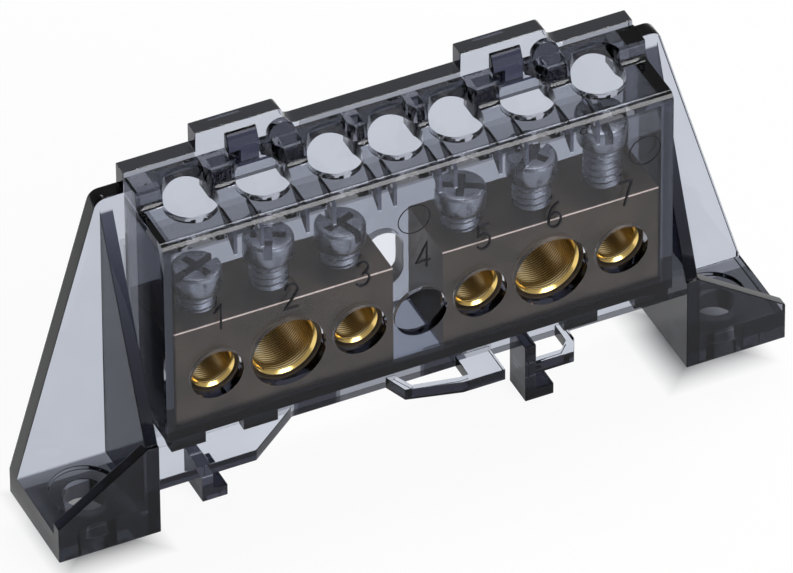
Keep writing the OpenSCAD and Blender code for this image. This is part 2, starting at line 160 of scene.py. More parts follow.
class PlasticSettings(bpy.types.PropertyGroup):
    """The smoky clear plastic of the holder and its cover."""

    holder_tint: FloatVectorProperty(
        name="Holder tint",
        description="Colour that light keeps after one depth of the holder's plastic",
        default=(0.304, 0.324, 0.384),
        **COLOUR,
    )
    holder_density: FloatProperty(
        name="Holder density",
        description="How fast the holder's plastic takes up light, per metre",
        min=0,
        default=300,
    )
    holder_film: FloatVectorProperty(
        name="Holder surface tint",
        description="Colour that the light keeps when it crosses a wall's two surfaces",
        default=(0.88, 0.92, 1.0),
        **COLOUR,
    )
    cover_tint: FloatVectorProperty(
        name="Cover tint",
        description="Colour that light keeps after one depth of the cover's plastic",
        default=(0.5, 0.52, 0.58),
        **COLOUR,
    )
    cover_density: FloatProperty(
        name="Cover density",
        description="How fast the cover's plastic takes up light, per metre",
        min=0,
        default=150,
    )
    cover_film: FloatVectorProperty(
        name="Cover surface tint",
        description="Colour that the light keeps when it crosses a wall's two surfaces",
        default=(0.92, 0.94, 1.0),
        **COLOUR,
    )
    holder_shadow: FloatVectorProperty(
        name="Holder shadow",
        description="Light that each surface of the holder lets into its shadow",
        default=(0.55, 0.55, 0.57),
        **COLOUR,
    )
    cover_shadow: FloatVectorProperty(
        name="Cover shadow",
        description="Light that each surface of the cover lets into its shadow",
        default=(0.92, 0.92, 0.93),
        **COLOUR,
    )
    # Painted shade: the colour that the zones of painted shade darken the plastic towards
    thick: FloatVectorProperty(
        name="Thick parts",
        description="Colour that the light keeps at each surface of the thick parts",
        default=(0.011, 0.0118, 0.026),
        **COLOUR,
    )
    edge: FloatProperty(
        name="Moulded edge",
        description="Radius that the mould leaves on the edges",
        min=0,
        default=0.00016,
        **LENGTH,
    )


class BrassSettings(bpy.types.PropertyGroup):
    """The two brass bars."""

    face: FloatVectorProperty(
        name="Drawn face",
        description="Colour of the drawn, slightly tarnished faces",
        default=(0.08, 0.061, 0.042),
        **COLOUR,
    )
    bore: FloatVectorProperty(
        name="Fresh bore",
        description="Colour of the freshly drilled wire bores",
        default=(0.95, 0.68, 0.24),
        **COLOUR,
    )
    shade: FloatVectorProperty(
        name="Groove shade",
        description="Colour of the hollows between the drill grooves",
        default=(0.34, 0.17, 0.02),
        **COLOUR,
    )
    # Painted highlight: the colour of the bright streaks in the bores
    burnish: FloatVectorProperty(
        name="Burnish",
        description="Colour of the ridges that the drill has burnished",
        default=(1.0, 0.82, 0.46),
        **COLOUR,
    )
    # Worn edge and painted highlight: the colour of the pale line along the bars' top front edge
    wear_and_highlight: FloatVectorProperty(
        name="Worn edge",
        description="Colour of the bars' broken edges, where the tarnish has gone",
        default=(0.7, 0.56, 0.47),
        **COLOUR,
    )
    # Painted reflection: the pale patch deep in each bore
    reflection: FloatVectorProperty(
        name="Polished patch",
        description="Colour deep in a bore, where the drill has polished it",
        default=(0.86, 0.92, 0.95),
        **COLOUR,
    )
    lip: FloatProperty(
        name="Lip",
        description="Width of the bright lip round each wire bore",
        min=0,
        default=0.0003,
        **LENGTH,
    )
    groove: FloatProperty(
        name="Groove pitch",
        description="Distance between two drill grooves in a bore",
        min=0.00005,
        default=0.00031,
        **LENGTH,
    )
    edge: FloatProperty(
        name="Broken edge",
        description="Width of the broken edges of the bars",
        min=0,
        default=0.00026,
        **LENGTH,
    )


class ScrewSettings(bpy.types.PropertyGroup):
    """The six clamping screws."""

    colour: FloatVectorProperty(
        name="Plating",
        description="Colour of the zinc plating",
        default=(0.26, 0.275, 0.31),
        **COLOUR,
    )
    rod: FloatProperty(
        name="Thread diameter",
        description="Diameter over the crests of the thread",
        min=0.001,
        default=0.00408,
        **LENGTH,
    )
    pitch: FloatProperty(
        name="Thread pitch",
        description="Distance between two turns of the thread",
        min=0.0003,
        default=0.00082,
        **LENGTH,
    )
    thread: FloatProperty(
        name="Thread depth",
        description="Depth of the thread below its crest",
        min=0,
        default=0.00036,
        **LENGTH,
    )
    head_height: FloatProperty(
        name="Head height",
        description="Height of the screw heads",
        min=0.001,
        default=0.0026,
        **LENGTH,
    )
    slot_width: FloatProperty(
        name="Slot width",
        description="Width of the driver slot",
        min=0.0003,
        default=0.0009,
        **LENGTH,
    )
    slot_depth: FloatProperty(
        name="Slot depth",
        description="Depth of the driver slot",
        min=0.0003,
        default=0.0012,
        **LENGTH,
    )


class MarkSettings(bpy.types.PropertyGroup):
    """Digits and ejector marks on the cover's front wall."""

    height: FloatProperty(
        name="Digit height",
        description="Height of the digits",
        min=0.001,
        default=0.0031,
        **LENGTH,
    )
    width: FloatProperty(
        name="Digit width",
        description="Width of the digits",
        min=0.0005,
        default=0.0015,
        **LENGTH,
    )
    stroke: FloatProperty(
        name="Stroke",
        description="Width of the digits' strokes",
        min=0.0001,
        default=0.0003,
        **LENGTH,
    )
    relief: FloatProperty(
        name="Relief",
        description="How far the digits stand out from the wall",
        min=0.00002,
        default=0.00014,
        **LENGTH,
    )
    above_bore: FloatProperty(
        name="Above the bore",
        description="Height of the digits' middle above the wire bores",
        default=0.0074,
        **LENGTH,
    )
    aside: FloatProperty(
        name="Aside",
        description="How far the digits stand to the right of the wire bores",
        default=0.0003,
        **LENGTH,
    )
    ring: FloatProperty(
        name="Ring stroke",
        description="Width of the lines that the ejector pins leave",
        min=0.00002,
        default=0.00013,
        **LENGTH,
    )
    colour: FloatVectorProperty(
        name="Digit colour",
        description="Colour of the digits, dark against the clear wall",
        default=(0.008, 0.008, 0.01),
        **COLOUR,
    )


class StudioSettings(bpy.types.PropertyGroup):
    """Floor, light and camera."""

    floor: FloatVectorProperty(
        name="Floor",
        description="Colour of the floor",
        default=(0.9, 0.9, 0.9),
        **COLOUR,
    )
    key_power: FloatProperty(
        name="Key light",
        description="Power of the soft box above the front",
        subtype="POWER",
        unit="POWER",
        min=0,
        default=10.5,
    )
    top_power: FloatProperty(
        name="Top light",
        description="Power of the large soft box overhead",
        subtype="POWER",
        unit="POWER",
        min=0,
        default=5.5,
    )
    sky: FloatProperty(
        name="Room light",
        description="Strength of the even light of the room",
        min=0,
        default=0.32,
    )
    lens: FloatProperty(
        name="Lens",
        description="Focal length of the camera in millimetres",
        min=10,
        default=575.9,
    )
    eye: FloatVectorProperty(
        name="Camera place",
        description="Where the camera stands",
        subtype="TRANSLATION",
        unit="LENGTH",
        size=3,
        default=(-0.41540, -0.89464, 0.84262),
    )
    aim: FloatVectorProperty(
        name="Camera turn",
        description="How the camera is turned",
        subtype="EULER",
        unit="ROTATION",
        size=3,
        default=(math.radians(50.068), math.radians(0.3565), math.radians(-25.1892)),
    )


class BusbarSettings(bpy.types.PropertyGroup):
    """Everything that can be changed about the busbar's looks."""

    plastic: PointerProperty(type=PlasticSettings)
    brass: PointerProperty(type=BrassSettings)
    screws: PointerProperty(type=ScrewSettings)
    marks: PointerProperty(type=MarkSettings)
    studio: PointerProperty(type=StudioSettings)


# Shader building

BLACK = (0.0, 0.0, 0.0, 1.0)
WHITE = (1.0, 1.0, 1.0, 1.0)


def add_node(tree, kind, values=None, **properties):
    """Adds a shader node, sets its properties, and sets or links its inputs."""
    node = tree.nodes.new(kind)
    for key, value in properties.items():
        setattr(node, key, value)
    for key, value in (values or {}).items():
        if isinstance(value, bpy.types.NodeSocket):
            tree.links.new(value, node.inputs[key])
        else:
            node.inputs[key].default_value = value
    return node


def maths(tree, operation, first, second=0.0):
    """Adds a Math node and returns its output."""
    return add_node(tree, "ShaderNodeMath", {0: first, 1: second}, operation=operation).outputs[0]


def between(tree, value, low, high, to_low=0.0, to_high=1.0):
    """Maps a value from one range smoothly to another and returns the output."""
    node = add_node(
        tree,
        "ShaderNodeMapRange",
        {"Value": value, "From Min": low, "From Max": high, "To Min": to_low, "To Max": to_high},
        interpolation_type="SMOOTHSTEP",
    )
    return node.outputs["Result"]


def vectors(tree, operation, first, second):
    """Adds a Vector Math node and returns its output."""
    node = add_node(tree, "ShaderNodeVectorMath", {0: first, 1: second}, operation=operation)
    return node.outputs[0]


def split_xyz(tree, vector):
    """Splits a vector and returns its X, Y and Z."""
    return add_node(tree, "ShaderNodeSeparateXYZ", {"Vector": vector}).outputs


def noise(tree, place, scale, detail):
    """Adds a noise texture and returns its value."""
    values = {"Vector": place, "Scale": scale, "Detail": detail}
    return add_node(tree, "ShaderNodeTexNoise", values).outputs["Fac"]


def blend(tree, factor, first, second):
    """Mixes two colours and returns the output."""
    values = {0: factor, 6: first, 7: second}
    return add_node(tree, "ShaderNodeMix", values, data_type="RGBA").outputs[2]


def varied(tree, base, *changes):
    """A value that each mask raises or lowers by the amount beside it."""
    for mask, amount in changes:
        base = maths(tree, "ADD", maths(tree, "MULTIPLY", mask, amount), base)
    return base


def bump(tree, height, strength, distance):
    """Adds a Bump node and returns its normal."""
    values = {"Height": height, "Strength": strength, "Distance": distance}
    return add_node(tree, "ShaderNodeBump", values).outputs["Normal"]


def rgba(colour, scale=1.0):
    """A colour setting, darker or paler by a scale, with its alpha."""
    return (colour[0] * scale, colour[1] * scale, colour[2] * scale, 1.0)


def new_group(name, inputs, outputs):
    """Starts a shader node group and returns its tree, its input sockets and its output node."""
    tree = bpy.data.node_groups.new(name, "ShaderNodeTree")
    for label, kind, default in inputs:
        socket = tree.interface.new_socket(name=label, in_out="INPUT", socket_type=kind)
        if default is not None:
            socket.default_value = default
    for label, kind in outputs:
        tree.interface.new_socket(name=label, in_out="OUTPUT", socket_type=kind)
    entry = tree.nodes.new("NodeGroupInput")
    leave = tree.nodes.new("NodeGroupOutput")
    return tree, entry.outputs, leave.inputs


def grain_group(name):
    """Fine uneven grain: a slow cloud for colour and a fine height for the surface."""
    tree, given, out = new_group(
        name,
        [("Place", "NodeSocketVector", None), ("Size", "NodeSocketFloat", 0.002)],
        [("Cloud", "NodeSocketFloat"), ("Height", "NodeSocketFloat")],
    )
    scale = maths(tree, "DIVIDE", 1.0, given["Size"])
    slow = noise(tree, given["Place"], scale, detail=3.0)
    fine = noise(tree, given["Place"], maths(tree, "MULTIPLY", scale, 9.0), detail=2.0)
    tree.links.new(between(tree, slow, 0.32, 0.68), out["Cloud"])
    tree.links.new(fine, out["Height"])
    return tree


def scratch_group(name):
    """Fine handling scratches that run two ways across a surface."""
    tree, given, out = new_group(
        name,
        [("Place", "NodeSocketVector", None), ("Length", "NodeSocketFloat", 0.004)],
        [("Scratch", "NodeSocketFloat")],
    )
    scale = maths(tree, "DIVIDE", 1.0, given["Length"])
    lines = []
    for turn, squeeze in ((0.5, 26.0), (-0.9, 34.0)):
        values = {
            "Vector": given["Place"],
            "Rotation": (0.3, turn, turn * 0.7),
            "Scale": (1.0, squeeze, squeeze),
        }
        turned = add_node(tree, "ShaderNodeMapping", values).outputs["Vector"]
        lines.append(between(tree, noise(tree, turned, scale, detail=1.0), 0.66, 0.74))
    tree.links.new(maths(tree, "MAXIMUM", *lines), out["Scratch"])
    return tree


def groove_group(name):
    """Even grooves that a tool leaves along one direction, a little unsteady."""
    tree, given, out = new_group(
        name,
        [
            ("Along", "NodeSocketFloat", 0.0),
            ("Place", "NodeSocketVector", None),
            ("Pitch", "NodeSocketFloat", 0.0003),
        ],
        [("Height", "NodeSocketFloat")],
    )
    wander = noise(tree, given["Place"], 260.0, detail=1.0)
    turns = maths(tree, "DIVIDE", given["Along"], given["Pitch"])
    phase = maths(tree, "MULTIPLY", varied(tree, turns, (wander, 0.6)), 2.0 * math.pi)
    rough = noise(tree, given["Place"], 5200.0, detail=2.0)
    tree.links.new(varied(tree, maths(tree, "SINE", phase), (rough, 0.08)), out["Height"])
    return tree


def box_group(name):
    """A mask that is 1 inside a box, which is mirrored to both sides of X = 0."""
    tree, given, out = new_group(
        name,
        [
            ("Place", "NodeSocketVector", None),
            ("Low", "NodeSocketVector", None),
            ("High", "NodeSocketVector", None),
            ("Soft", "NodeSocketFloat", 0.0001),
        ],
        [("Mask", "NodeSocketFloat")],
    )
    at = split_xyz(tree, given["Place"])
    values = {"X": maths(tree, "ABSOLUTE", at["X"]), "Y": at["Y"], "Z": at["Z"]}
    folded = add_node(tree, "ShaderNodeCombineXYZ", values).outputs[0]
    above = vectors(tree, "SUBTRACT", folded, given["Low"])
    below = vectors(tree, "SUBTRACT", given["High"], folded)
    least = split_xyz(tree, vectors(tree, "MINIMUM", above, below))
    depth = maths(tree, "MINIMUM", maths(tree, "MINIMUM", least["X"], least["Y"]), least["Z"])
    values = {"Value": depth, "From Min": 0.0, "From Max": given["Soft"]}
    tree.links.new(add_node(tree, "ShaderNodeMapRange", values).outputs["Result"], out["Mask"])
    return tree


GROUPS = {
    "Surface grain": grain_group,
    "Handling scratches": scratch_group,
    "Tool grooves": groove_group,
    "Inside a box": box_group,
}


def place_group(tree, name, values):
    """Puts a shader node group into a material, built the first time, and returns its outputs."""
    group = bpy.data.node_groups.get(name) or GROUPS[name](name)
    return add_node(tree, "ShaderNodeGroup", values, node_tree=group).outputs


def inside(tree, place, box, soft=0.0001):
    """A mask that is 1 inside a box, given by its low and its high corner."""
    values = {"Place": place, "Low": box[0], "High": box[1], "Soft": soft}
    return place_group(tree, "Inside a box", values)["Mask"]


def new_material(name):
    """Starts a material and returns it, its tree, its output node and object coordinates."""
    material = bpy.data.materials.new(name)
    material.use_nodes = True
    tree = material.node_tree
    tree.nodes.clear()
    end = tree.nodes.new("ShaderNodeOutputMaterial")
    place = tree.nodes.new("ShaderNodeTexCoord").outputs["Object"]
    return material, tree, end, place


def add_surface(tree, end, values):
    """Adds a Principled BSDF as the whole surface of a material."""
    surface = add_node(tree, "ShaderNodeBsdfPrincipled", values)
    tree.links.new(surface.outputs[0], end.inputs["Surface"])


def face_way(tree, axis):
    """How squarely each face looks along an axis, from 0 to 1."""
    normal = tree.nodes.new("ShaderNodeNewGeometry").outputs["True Normal"]
    return maths(tree, "ABSOLUTE", split_xyz(tree, normal)[axis])


def facing_masks(tree):
    """Masks for upright, rising and rounded faces, from the way each face looks."""
    up = face_way(tree, "Z")
    rising = between(tree, up, 0.2, 0.4)
    return {
        "upright": between(tree, up, 0.6, 0.4),
        "rising": rising,
        "rounded": maths(tree, "MULTIPLY", rising, between(tree, up, 0.99, 0.95)),
    }


def smoky_plastic(name, tint, density, film, shadow, thick, roughness, zones, top, glow=None):
    """Clear moulded plastic that takes up light with depth, with painted shade in its thick parts
    and shaded places.
    """
    material, tree, end, place = new_material(name)
    grain = place_group(tree, "Surface grain", {"Place": place, "Size": 0.006})
    scratch = place_group(tree, "Handling scratches", {"Place": place, "Length": 0.005})
    dull = varied(tree, roughness, (grain["Cloud"], 0.025), (scratch["Scratch"], 0.05))
    clear = blend(tree, grain["Cloud"], rgba(film, 0.97), rgba(film))
    masks = facing_masks(tree)
    for low, high, share, faces in zones:
        mask = inside(tree, place, (low, high))
        if faces != "all":
            mask = maths(tree, "MULTIPLY", mask, masks[faces])
        # Painted shade: each zone darkens the plastic's colour towards the shade colour
        clear = blend(tree, maths(tree, "MULTIPLY", mask, share), clear, rgba(thick))
    rim = inside(tree, place, top)
    gloss = maths(tree, "MULTIPLY", maths(tree, "MULTIPLY", rim, masks["rounded"]), 0.7)
    plastic = add_node(
        tree,
        "ShaderNodeBsdfPrincipled",
        {
            "Base Color": clear,
            "Roughness": dull,
            "IOR": 1.57,
            "Specular Tint": (0.28, 0.28, 0.3, 1.0),
            "Transmission Weight": 1.0,
            "Coat Weight": gloss,
            "Normal": bump(tree, grain["Cloud"], strength=0.12, distance=0.00004),
        },
    )
    # Painted glow: the rising faces at the holder's top give off light
    if glow:
        lit = maths(tree, "MULTIPLY", rim, masks["rising"])
        tree.links.new(blend(tree, lit, BLACK, rgba(glow)), plastic.inputs["Emission Color"])
        plastic.inputs["Emission Strength"].default_value = 1.0
        material.cycles.emission_sampling = "NONE"
    lamp_path = add_node(tree, "ShaderNodeBsdfTransparent", {"Color": rgba(shadow)})
    path = tree.nodes.new("ShaderNodeLightPath")
    surface = add_node(
        tree,
        "ShaderNodeMixShader",
        {0: path.outputs["Is Shadow Ray"], 1: plastic.outputs[0], 2: lamp_path.outputs[0]},
    )
    smoke = add_node(tree, "ShaderNodeVolumeAbsorption", {"Color": rgba(tint), "Density": density})
    tree.links.new(surface.outputs[0], end.inputs["Surface"])
    tree.links.new(smoke.outputs[0], end.inputs["Volume"])
    return material


def near_bore(tree, at, centre, radius):
    """A mask that is 1 at a round bore and its lips, and the angle round the bore's axis."""
    across = maths(tree, "SUBTRACT", at["X"], centre[0])
    up = maths(tree, "SUBTRACT", at["Z"], centre[2])
    square = maths(
        tree, "ADD", maths(tree, "MULTIPLY", across, across), maths(tree, "MULTIPLY", up, up)
    )
    mask = maths(tree, "LESS_THAN", maths(tree, "SQRT", square), radius)
    return mask, maths(tree, "MULTIPLY", maths(tree, "ARCTAN2", up, across), mask)


def streak(tree, angle, depth, middle, spread, start, full):
    """A soft painted highlight streak in a bore: angles round its axis in degrees, and a range of
    depth.
    """
    away = maths(tree, "ABSOLUTE", maths(tree, "SUBTRACT", angle, math.radians(middle)))
    band = between(tree, away, math.radians(spread), 0.0)
    return maths(tree, "MULTIPLY", band, between(tree, depth, start, full))


def brass_finish(settings):
    """Drawn brass with tarnished faces, and bores with drill grooves and lips, with painted
    highlights, a painted reflection and painted shade in the bores, and a worn edge with a painted
    highlight.
    """
    material, tree, end, place = new_material("drawn_brass")
    at = split_xyz(tree, place)
    near, angle, size = 0.0, 0.0, 0.0
    for number in SCREW_TURNS:
        mount = MOUNTS[f"wire_{number}"]
        radius = mount["dims"]["r_mm"] / 1000
        hole, turn = near_bore(tree, at, mount["pos_m"], radius + settings.lip)
        near = maths(tree, "ADD", hole, near)
        angle = maths(tree, "ADD", turn, angle)
        size = varied(tree, size, (hole, radius))
    lip = maths(tree, "MULTIPLY", near, between(tree, face_way(tree, "Y"), 0.2, 0.4))
    wall = maths(tree, "SUBTRACT", near, lip)

    # Worn edge and painted highlight: a pale, less metallic line painted along the top front edge
    # only, where the light catches it
    low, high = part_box("busbar_left")
    line = settings.edge / 2
    corner = ((-1.0, low.y - line, high.z - line), (1.0, low.y + line, high.z + line))
    edge = inside(tree, place, corner, line / 4)
    grain = place_group(tree, "Surface grain", {"Place": place, "Size": 0.004})
    scratch = place_group(tree, "Handling scratches", {"Place": place, "Length": 0.003})
    face = blend(tree, grain["Cloud"], rgba(settings.face, 0.62), rgba(settings.face))
    face = blend(tree, edge, face, rgba(settings.wear_and_highlight))
    face_dull = varied(
        tree, 0.36, (grain["Cloud"], 0.12), (scratch["Scratch"], -0.1), (edge, -0.16)
    )

    values = {"Along": at["Y"], "Place": place, "Pitch": settings.groove}
    grooves = place_group(tree, "Tool grooves", values)["Height"]
    lines = between(tree, grooves, -0.5, 0.7)
    ridges = between(tree, grooves, -0.5, 0.7, 0.45, 1.0)
    depth = maths(tree, "DIVIDE", maths(tree, "SUBTRACT", at["Y"], low.y), size)
    # Painted highlights and a painted reflection: streaks in the bores paint the lamps' light into
    # the colour and take metal away so they catch light; the bore walls are painted darker than
    # their lips, and darker still in the groove hollows (painted shade)
    highlit = 0.0
    for shape in BORE_HIGHLIGHTS:
        highlit = maths(tree, "MAXIMUM", streak(tree, angle, depth, *shape), highlit)
    reflected = streak(tree, angle, depth, *BORE_REFLECTION)
    bore = blend(tree, lines, rgba(settings.shade, 0.6), rgba(settings.bore, 0.64))
    bore = blend(tree, maths(tree, "MULTIPLY", highlit, ridges), bore, rgba(settings.burnish))
    bore = blend(tree, maths(tree, "MULTIPLY", reflected, ridges), bore, rgba(settings.reflection))
    bright = maths(tree, "MULTIPLY", maths(tree, "MAXIMUM", highlit, reflected), ridges)
    bright = maths(tree, "MULTIPLY", bright, wall)

    colour = blend(tree, lip, blend(tree, wall, face, bore), rgba(settings.bore))
    dull = add_node(tree, "ShaderNodeMix", {0: near, 2: face_dull, 3: 0.2}, data_type="FLOAT")
    height = varied(tree, maths(tree, "MULTIPLY", grooves, wall), (grain["Height"], 0.06))
    add_surface(
        tree,
        end,
        {
            "Base Color": colour,
            "Roughness": dull.outputs[0],
            "Metallic": varied(tree, 1.0, (bright, -0.85), (edge, -0.6)),
            "Normal": bump(tree, height, strength=0.9, distance=0.000032),
        },
    )
    return material


def zinc_finish(settings):
    """Pale zinc plating with fine scratches and a slow cloud."""
    material, tree, end, place = new_material("zinc_plating")
    grain = place_group(tree, "Surface grain", {"Place": place, "Size": 0.0018})
    scratch = place_group(tree, "Handling scratches", {"Place": place, "Length": 0.0016})
    colour = blend(tree, grain["Cloud"], rgba(settings.colour, 0.8), rgba(settings.colour))
    add_surface(
        tree,
        end,
        {
            "Base Color": colour,
            "Roughness": varied(tree, 0.22, (grain["Cloud"], 0.1), (scratch["Scratch"], 0.12)),
            "Metallic": 1.0,
            "Normal": bump(tree, grain["Height"], strength=0.25, distance=0.00002),
        },
    )
    return material


def mark_finish(settings):
    """Dark raised strokes, a little uneven."""
    material, tree, end, place = new_material("raised_marks")
    grain = place_group(tree, "Surface grain", {"Place": place, "Size": 0.0007})
    colour = blend(tree, grain["Cloud"], rgba(settings.colour), rgba(settings.colour, 1.9))
    add_surface(
        tree,
        end,
        {
            "Base Color": colour,
            "Roughness": varied(tree, 0.4, (grain["Cloud"], 0.15)),
            "Specular IOR Level": 0.2,
            "Normal": bump(tree, grain["Height"], strength=0.2, distance=0.00002),
        },
    )
    return material


# Meshes


def put_on(piece, finish):
    """Gives a piece one finish all over."""
    piece.data.materials.clear()
    piece.data.materials.append(finish)


def new_piece(name, mesh, body, finish):
    """Puts a mesh into the scene as a piece that rides on a body."""
    piece = bpy.data.objects.new(name, mesh)
    bpy.context.scene.collection.objects.link(piece)
    put_on(piece, finish)
    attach(piece, body)
    return piece


def mesh_from(form, name):
    """Turns a bmesh into a mesh and frees it."""
    bmesh.ops.recalc_face_normals(form, faces=form.faces)
    mesh = bpy.data.meshes.new(name)
    form.to_mesh(mesh)
    form.free()
    return mesh


def soften_edges(node, width, angle):
    """Welds a solid's faces and rounds its edges, as a mould or a file leaves them."""
    weld = node.modifiers.new("Weld", "WELD")
    weld.merge_threshold = 0.000002
    flat = node.modifiers.new("Join flat faces", "DECIMATE")
    flat.decimate_type = "DISSOLVE"
    flat.angle_limit = math.radians(0.6)
    bevel = node.modifiers.new("Rounded edges", "BEVEL")
    bevel.width = width
    bevel.segments = ROUNDING_STEPS
    bevel.limit_method = "ANGLE"
    bevel.angle_limit = math.radians(angle)
    bevel.use_clamp_overlap = True
    bevel.harden_normals = False
    node.data.shade_smooth()
    smooth = node.modifiers.new("Flat faces first", "WEIGHTED_NORMAL")
    smooth.keep_sharp = False
    smooth.weight = 80


def skin(form, rings):
    """Faces between rings of as many vertices each, and one at both ends."""
    count = len(rings[0])
    for lower, upper in zip(rings, rings[1:]):
        for step in range(count):
            after = (step + 1) % count
            form.faces.new((lower[step], lower[after], upper[after], upper[step]))
    form.faces.new(rings[0])
    form.faces.new(rings[-1])


def round_point(form, radius, share, height):
    """A vertex at a radius, a share of a full turn and a height round the Z axis."""
    angle = 2.0 * math.pi * share
    return form.verts.new((radius * math.cos(angle), radius * math.sin(angle), height))


def threaded_rod(settings, radius, tip, top):
    """A rod with a helical thread, from its tip up to the underside of the head."""
    form = bmesh.new()
    step = settings.pitch / THREAD_ROWS
    rings = []
    for row in range(max(4, math.ceil((top - tip) / step)) + 1):
        height = min(tip + row * step, top)
        turns = (height - tip) / settings.pitch
        taper = 0.8 * settings.thread * (1.0 - min(1.0, turns / THREAD_LEAD))
        ring = []
        for side in range(THREAD_SIDES):
            share = side / THREAD_SIDES
            crest = max(0.0, 1.0 - abs((turns - share) % 1.0 - 0.5) * THREAD_FLANK)
            reach = radius - settings.thread * (1.0 - crest) - taper
            ring.append(round_point(form, reach, share, height))
        rings.append(ring)
    skin(form, rings)
    return form


def head_blank(radius, low, high):
    """A screw head turned from the bar: flat sides and a rounded top edge."""
    form = bmesh.new()
    soft = (high - low) * 0.16
    outline = [(radius * 0.86, low), (radius * 0.97, low + soft * 0.5), (radius, low + soft)]
    for step in range(5):
        angle = math.radians(90) * step / 4
        outline.append(
            (radius - soft * (1.0 - math.cos(angle)), high - soft * (1.0 - math.sin(angle)))
        )
    rings = []
    for reach, height in outline:
        sides = range(HEAD_SIDES)
        rings.append([round_point(form, reach, side / HEAD_SIDES, height) for side in sides])
    skin(form, rings)
    return form


def slot_cutter(settings, radius, high, turn):
    """The solid that a saw and a punch take out of a head: a slot right across and a cross."""
    form = bmesh.new()
    over = 0.001
    spin = Matrix.Rotation(math.radians(turn), 4, "Z")
    arms = (
        (radius * 1.2, settings.slot_width / 2, settings.slot_depth),
        (settings.slot_width / 2, radius * 0.68, settings.slot_depth * 1.4),
    )
    for half_x, half_y, depth in arms:
        made = bmesh.ops.create_cube(form, size=1.0)
        size = Matrix.Diagonal((2.0 * half_x, 2.0 * half_y, depth + over, 1.0))
        lift = Matrix.Translation((0.0, 0.0, high - depth + (depth + over) / 2))
        bmesh.ops.transform(form, matrix=spin @ lift @ size, verts=made["verts"])
    return form


def carved(form, cutter, name):
    """One mesh with another cut out of it."""
    blank = bpy.data.objects.new(name, mesh_from(form, name))
    tool = bpy.data.objects.new(f"{name}_tool", mesh_from(cutter, f"{name}_tool"))
    for made in (blank, tool):
        bpy.context.scene.collection.objects.link(made)
    cut = blank.modifiers.new("Cut", "BOOLEAN")
    cut.object = tool
    cut.operation = "DIFFERENCE"
    cut.solver = "EXACT"
    cut.use_self = True
    bpy.context.view_layer.update()
    graph = bpy.context.evaluated_depsgraph_get()
    mesh = bpy.data.meshes.new_from_object(blank.evaluated_get(graph))
    for made in (blank, tool):
        data = made.data
        bpy.data.objects.remove(made)
        bpy.data.meshes.remove(data)
    return mesh


def screw_mesh(settings, place, turn):
    """A clamping screw where the frame has it, with its thread and its carved head."""
    node = f"screw_{place}"
    low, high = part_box(node)
    middle = (low + high) / 2
    radius = (high.x - low.x) / 2
    neck = high.z - settings.head_height
    rod = threaded_rod(settings, settings.rod / 2, low.z, neck + 0.0001)
    cutter = slot_cutter(settings, radius, high.z, turn)
    head = carved(head_blank(radius, neck, high.z), cutter, node)
    form = bmesh.new()
    for mesh in (head, mesh_from(rod, f"{node}_thread")):
        form.from_mesh(mesh)
        bpy.data.meshes.remove(mesh)
    bmesh.ops.translate(form, verts=form.verts, vec=(middle.x, middle.y, 0.0))
    return mesh_from(form, f"clamp_{node}")


def arc(centre, size, start, end, steps=14):
    """Points along part of an ellipse, angles in degrees."""
    points = []
    for step in range(steps + 1):
        angle = math.radians(start + (end - start) * step / steps)
        across, up = size[0] * math.cos(angle), size[1] * math.sin(angle)
        points.append((centre[0] + across, centre[1] + up))
    return points


# The strokes of each digit in a box one unit wide and one unit tall, from its lower left corner
DIGIT_STROKES = {
    1: [[(0.12, 0.72), (0.62, 1.0), (0.62, 0.0)]],
    2: [arc((0.5, 0.74), (0.46, 0.26), 165, -30) + [(0.05, 0.0), (1.0, 0.0)]],
    3: [arc((0.46, 0.76), (0.42, 0.24), 150, -80) + arc((0.46, 0.27), (0.5, 0.27), 80, -155)],
    4: [[(0.74, 0.0), (0.74, 1.0), (0.0, 0.27), (1.0, 0.27)]],
    5: [[(0.92, 1.0), (0.14, 1.0), (0.1, 0.56)] + arc((0.46, 0.31), (0.5, 0.31), 125, -150)],
    6: [arc((0.98, 0.32), (0.94, 0.7), 100, 180, 10) + arc((0.5, 0.3), (0.46, 0.3), 180, 540, 24)],
    7: [[(0.02, 1.0), (0.98, 1.0), (0.4, 0.0)]],
}


def stroke_outline(points, half):
    """Left and right edge of a stroke of even width along points, mitred at the corners."""
    left, right = [], []
    for index, point in enumerate(points):
        here = Vector(point)
        before = Vector(points[max(index - 1, 0)])
        after = Vector(points[min(index + 1, len(points) - 1)])
        ways = [way.normalized() for way in (here - before, after - here) if way.length > 1e-9]
        if len(ways) == 1:
            normal, reach = Vector((-ways[0].y, ways[0].x)), half
        else:
            middle = (ways[0] + ways[1]).normalized()
            normal = Vector((-middle.y, middle.x))
            reach = half / max(0.45, normal.dot(Vector((-ways[0].y, ways[0].x))))
        left.append(here + normal * reach)
        right.append(here - normal * reach)
    return left, right


def raise_stroke(form, points, stroke, relief, wall):
    """A raised stroke with sloped sides on the front wall, from points in X and Z."""
    half = stroke / 2
    sections = []
    outer = stroke_outline(points, half)
    inner = stroke_outline(points, half * 0.55)
    sunk = wall + relief * 0.3
    proud = wall - relief
    for index in range(len(points)):
        edge = (
            (outer[0][index], sunk),
            (inner[0][index], proud),
            (inner[1][index], proud),
            (outer[1][index], sunk),
        )
        sections.append([form.verts.new((at.x, depth, at.y)) for at, depth in edge])
    skin(form, sections)


def digit_mesh(settings, number, x, z, wall):
    """One raised digit on the front wall, its middle at X and Z."""
    form = bmesh.new()
    for stroke in DIGIT_STROKES[number]:
        points = [
            (x + (across - 0.5) * settings.width, z + (up - 0.5) * settings.height)
            for across, up in stroke
        ]
        raise_stroke(form, points, settings.stroke, settings.relief, wall)
    return mesh_from(form, f"digit_{number}")


